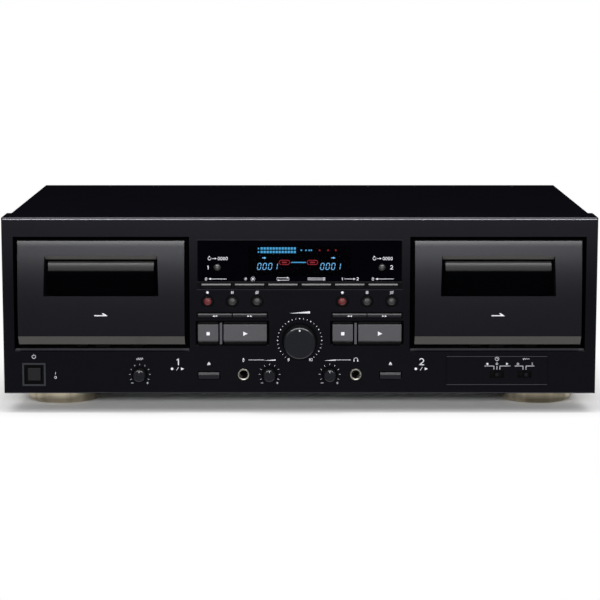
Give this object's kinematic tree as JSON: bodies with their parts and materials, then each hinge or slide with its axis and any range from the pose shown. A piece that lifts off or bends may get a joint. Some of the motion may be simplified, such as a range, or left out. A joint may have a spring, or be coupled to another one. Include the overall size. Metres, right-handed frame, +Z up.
{
  "type": "double cassette deck",
  "caption": "Full-width hi-fi tape deck with cassette doors side by side, a central display, transport keys, level knobs, slide switches, front jacks and rear sockets.",
  "frame": {"origin": "on the surface that the deck stands on, below the middle of its outline", "axes": "+X to the right as seen from the front, +Y to the back, +Z up; the doors and controls face -Y"},
  "size_m": [0.435, 0.286, 0.145],
  "materials": {
    "plated_steel": "satin",
    "cover_paint": "satin",
    "rear_paint": "satin",
    "panel_plastic": "satin",
    "foot_metal": "polished",
    "smoked_plastic": "gloss",
    "tube_glass": "gloss",
    "board": "satin",
    "core_iron": "satin",
    "frame_metal": "satin",
    "belt_rubber": "matte",
    "socket_metal": "polished",
    "jack_metal": "polished",
    "screw_steel": "satin",
    "record_key": "gloss",
    "round_key": "satin",
    "press_key": "satin",
    "bar_key": "satin",
    "knob_plastic": "satin",
    "door_plastic": "satin",
    "spindle_plastic": "satin",
    "flywheel_metal": "satin",
    "carriage_metal": "satin",
    "roller_rubber": "matte"
  },
  "bodies": {
    "cabinet": {"chassis_pan": "plated_steel", "top_cover": "cover_paint", "rear_panel": "rear_paint", "front_panel": "panel_plastic", "feet": "foot_metal", "display_window": "smoked_plastic", "display_tube": "tube_glass", "front_board": "board", "main_board": "board", "power_transformer": "core_iron", "transport_frames": "frame_metal", "drive_belts": "belt_rubber", "rear_sockets": "socket_metal", "front_jacks": "jack_metal", "screws": "screw_steel"},
    "power_button": {"power_button": "bar_key"},
    "zero_button_1": {"zero_button_1": "bar_key"},
    "dimmer_button": {"dimmer_button": "bar_key"},
    "repeat_button": {"repeat_button": "bar_key"},
    "parallel_button": {"parallel_button": "bar_key"},
    "dubbing_button": {"dubbing_button": "bar_key"},
    "zero_button_2": {"zero_button_2": "bar_key"},
    "record_button_1": {"record_button_1": "record_key"},
    "pause_button_1": {"pause_button_1": "round_key"},
    "mute_button_1": {"mute_button_1": "round_key"},
    "rewind_button_1": {"rewind_button_1": "bar_key"},
    "forward_button_1": {"forward_button_1": "bar_key"},
    "stop_button_1": {"stop_button_1": "press_key"},
    "play_button_1": {"play_button_1": "press_key"},
    "reset_button_1": {"reset_button_1": "round_key"},
    "eject_button_1": {"eject_button_1": "bar_key"},
    "record_button_2": {"record_button_2": "record_key"},
    "pause_button_2": {"pause_button_2": "round_key"},
    "mute_button_2": {"mute_button_2": "round_key"},
    "rewind_button_2": {"rewind_button_2": "bar_key"},
    "forward_button_2": {"forward_button_2": "bar_key"},
    "stop_button_2": {"stop_button_2": "press_key"},
    "play_button_2": {"play_button_2": "press_key"},
    "reset_button_2": {"reset_button_2": "round_key"},
    "eject_button_2": {"eject_button_2": "bar_key"},
    "level_knob": {"level_knob": "knob_plastic"},
    "pitch_knob": {"pitch_knob": "knob_plastic"},
    "mic_knob": {"mic_knob": "knob_plastic"},
    "phones_knob": {"phones_knob": "knob_plastic"},
    "timer_slider": {"timer_slider": "bar_key"},
    "noise_slider": {"noise_slider": "bar_key"},
    "cassette_door_1": {"cassette_door_1": "door_plastic", "door_window_1": "smoked_plastic"},
    "supply_spindle_1": {"supply_spindle_1": "spindle_plastic"},
    "takeup_spindle_1": {"takeup_spindle_1": "spindle_plastic"},
    "flywheel_1": {"flywheel_1": "flywheel_metal"},
    "head_carriage_1": {"head_carriage_1": "carriage_metal"},
    "pinch_roller_1": {"pinch_roller_1": "roller_rubber"},
    "cassette_door_2": {"cassette_door_2": "door_plastic", "door_window_2": "smoked_plastic"},
    "supply_spindle_2": {"supply_spindle_2": "spindle_plastic"},
    "takeup_spindle_2": {"takeup_spindle_2": "spindle_plastic"},
    "flywheel_2": {"flywheel_2": "flywheel_metal"},
    "head_carriage_2": {"head_carriage_2": "carriage_metal"},
    "pinch_roller_2": {"pinch_roller_2": "roller_rubber"}
  },
  "joints": [
    {"name": "cassette_door_1_turn", "type": "hinge", "parent": "cabinet", "child": "cassette_door_1", "pos_m": [-0.14495, -0.123, 0.0542], "axis": [1, 0, 0], "range_deg": [0, 25]},
    {"name": "cassette_door_2_turn", "type": "hinge", "parent": "cabinet", "child": "cassette_door_2", "pos_m": [0.14495, -0.123, 0.0542], "axis": [1, 0, 0], "range_deg": [0, 25]},
    {"name": "head_carriage_1_rise", "type": "slide", "parent": "cabinet", "child": "head_carriage_1", "axis": [0, 0, 1], "range_m": [0, 0.007]},
    {"name": "head_carriage_2_rise", "type": "slide", "parent": "cabinet", "child": "head_carriage_2", "axis": [0, 0, 1], "range_m": [0, 0.007]},
    {"name": "level_knob_turn", "type": "hinge", "parent": "cabinet", "child": "level_knob", "pos_m": [0, -0.129, 0.05455], "axis": [0, 1, 0], "range_deg": [-150, 150]},
    {"name": "pitch_knob_turn", "type": "hinge", "parent": "cabinet", "child": "pitch_knob", "pos_m": [-0.11755, -0.129, 0.0293], "axis": [0, 1, 0], "range_deg": [-150, 150]},
    {"name": "mic_knob_turn", "type": "hinge", "parent": "cabinet", "child": "mic_knob", "pos_m": [-0.0221, -0.129, 0.0293], "axis": [0, 1, 0], "range_deg": [-150, 150]},
    {"name": "phones_knob_turn", "type": "hinge", "parent": "cabinet", "child": "phones_knob", "pos_m": [0.0221, -0.129, 0.0293], "axis": [0, 1, 0], "range_deg": [-150, 150]},
    {"name": "timer_slider_slide", "type": "slide", "parent": "cabinet", "child": "timer_slider", "axis": [1, 0, 0], "range_m": [-0.0022, 0.0022]},
    {"name": "noise_slider_slide", "type": "slide", "parent": "cabinet", "child": "noise_slider", "axis": [1, 0, 0], "range_m": [-0.0022, 0]},
    {"name": "power_button_press", "type": "slide", "parent": "cabinet", "child": "power_button", "axis": [0, 1, 0], "range_m": [0, 0.004], "stiffness_N_per_m": 200},
    {"name": "zero_button_1_press", "type": "slide", "parent": "cabinet", "child": "zero_button_1", "axis": [0, 1, 0], "range_m": [0, 0.0008], "stiffness_N_per_m": 200},
    {"name": "dimmer_button_press", "type": "slide", "parent": "cabinet", "child": "dimmer_button", "axis": [0, 1, 0], "range_m": [0, 0.0008], "stiffness_N_per_m": 200},
    {"name": "repeat_button_press", "type": "slide", "parent": "cabinet", "child": "repeat_button", "axis": [0, 1, 0], "range_m": [0, 0.0008], "stiffness_N_per_m": 200},
    {"name": "parallel_button_press", "type": "slide", "parent": "cabinet", "child": "parallel_button", "axis": [0, 1, 0], "range_m": [0, 0.0008], "stiffness_N_per_m": 200},
    {"name": "dubbing_button_press", "type": "slide", "parent": "cabinet", "child": "dubbing_button", "axis": [0, 1, 0], "range_m": [0, 0.0008], "stiffness_N_per_m": 200},
    {"name": "zero_button_2_press", "type": "slide", "parent": "cabinet", "child": "zero_button_2", "axis": [0, 1, 0], "range_m": [0, 0.0008], "stiffness_N_per_m": 200},
    {"name": "record_button_1_press", "type": "slide", "parent": "cabinet", "child": "record_button_1", "axis": [0, 1, 0], "range_m": [0, 0.0008], "stiffness_N_per_m": 200},
    {"name": "pause_button_1_press", "type": "slide", "parent": "cabinet", "child": "pause_button_1", "axis": [0, 1, 0], "range_m": [0, 0.0008], "stiffness_N_per_m": 200},
    {"name": "mute_button_1_press", "type": "slide", "parent": "cabinet", "child": "mute_button_1", "axis": [0, 1, 0], "range_m": [0, 0.0008], "stiffness_N_per_m": 200},
    {"name": "rewind_button_1_press", "type": "slide", "parent": "cabinet", "child": "rewind_button_1", "axis": [0, 1, 0], "range_m": [0, 0.0008], "stiffness_N_per_m": 200},
    {"name": "forward_button_1_press", "type": "slide", "parent": "cabinet", "child": "forward_button_1", "axis": [0, 1, 0], "range_m": [0, 0.0008], "stiffness_N_per_m": 200},
    {"name": "stop_button_1_press", "type": "slide", "parent": "cabinet", "child": "stop_button_1", "axis": [0, 1, 0], "range_m": [0, 0.0008], "stiffness_N_per_m": 200},
    {"name": "play_button_1_press", "type": "slide", "parent": "cabinet", "child": "play_button_1", "axis": [0, 1, 0], "range_m": [0, 0.0008], "stiffness_N_per_m": 200},
    {"name": "reset_button_1_press", "type": "slide", "parent": "cabinet", "child": "reset_button_1", "axis": [0, 1, 0], "range_m": [0, 0.0008], "stiffness_N_per_m": 200},
    {"name": "eject_button_1_press", "type": "slide", "parent": "cabinet", "child": "eject_button_1", "axis": [0, 1, 0], "range_m": [0, 0.003], "stiffness_N_per_m": 200},
    {"name": "record_button_2_press", "type": "slide", "parent": "cabinet", "child": "record_button_2", "axis": [0, 1, 0], "range_m": [0, 0.0008], "stiffness_N_per_m": 200},
    {"name": "pause_button_2_press", "type": "slide", "parent": "cabinet", "child": "pause_button_2", "axis": [0, 1, 0], "range_m": [0, 0.0008], "stiffness_N_per_m": 200},
    {"name": "mute_button_2_press", "type": "slide", "parent": "cabinet", "child": "mute_button_2", "axis": [0, 1, 0], "range_m": [0, 0.0008], "stiffness_N_per_m": 200},
    {"name": "rewind_button_2_press", "type": "slide", "parent": "cabinet", "child": "rewind_button_2", "axis": [0, 1, 0], "range_m": [0, 0.0008], "stiffness_N_per_m": 200},
    {"name": "forward_button_2_press", "type": "slide", "parent": "cabinet", "child": "forward_button_2", "axis": [0, 1, 0], "range_m": [0, 0.0008], "stiffness_N_per_m": 200},
    {"name": "stop_button_2_press", "type": "slide", "parent": "cabinet", "child": "stop_button_2", "axis": [0, 1, 0], "range_m": [0, 0.0008], "stiffness_N_per_m": 200},
    {"name": "play_button_2_press", "type": "slide", "parent": "cabinet", "child": "play_button_2", "axis": [0, 1, 0], "range_m": [0, 0.0008], "stiffness_N_per_m": 200},
    {"name": "reset_button_2_press", "type": "slide", "parent": "cabinet", "child": "reset_button_2", "axis": [0, 1, 0], "range_m": [0, 0.0008], "stiffness_N_per_m": 200},
    {"name": "eject_button_2_press", "type": "slide", "parent": "cabinet", "child": "eject_button_2", "axis": [0, 1, 0], "range_m": [0, 0.003], "stiffness_N_per_m": 200},
    {"name": "supply_spindle_1_turn", "type": "hinge", "parent": "cabinet", "child": "supply_spindle_1", "pos_m": [-0.1662, -0.129, 0.094], "axis": [0, 1, 0], "continuous": true},
    {"name": "takeup_spindle_1_turn", "type": "hinge", "parent": "cabinet", "child": "takeup_spindle_1", "pos_m": [-0.1237, -0.129, 0.094], "axis": [0, 1, 0], "continuous": true},
    {"name": "flywheel_1_turn", "type": "hinge", "parent": "cabinet", "child": "flywheel_1", "pos_m": [-0.11995, -0.129, 0.0684], "axis": [0, 1, 0], "continuous": true},
    {"name": "pinch_roller_1_turn", "type": "hinge", "parent": "head_carriage_1", "child": "pinch_roller_1", "pos_m": [-0.11995, -0.129, 0.0534], "axis": [0, 1, 0], "continuous": true},
    {"name": "supply_spindle_2_turn", "type": "hinge", "parent": "cabinet", "child": "supply_spindle_2", "pos_m": [0.1237, -0.129, 0.094], "axis": [0, 1, 0], "continuous": true},
    {"name": "takeup_spindle_2_turn", "type": "hinge", "parent": "cabinet", "child": "takeup_spindle_2", "pos_m": [0.1662, -0.129, 0.094], "axis": [0, 1, 0], "continuous": true},
    {"name": "flywheel_2_turn", "type": "hinge", "parent": "cabinet", "child": "flywheel_2", "pos_m": [0.16995, -0.129, 0.0684], "axis": [0, 1, 0], "continuous": true},
    {"name": "pinch_roller_2_turn", "type": "hinge", "parent": "head_carriage_2", "child": "pinch_roller_2", "pos_m": [0.16995, -0.129, 0.0534], "axis": [0, 1, 0], "continuous": true}
  ]
}
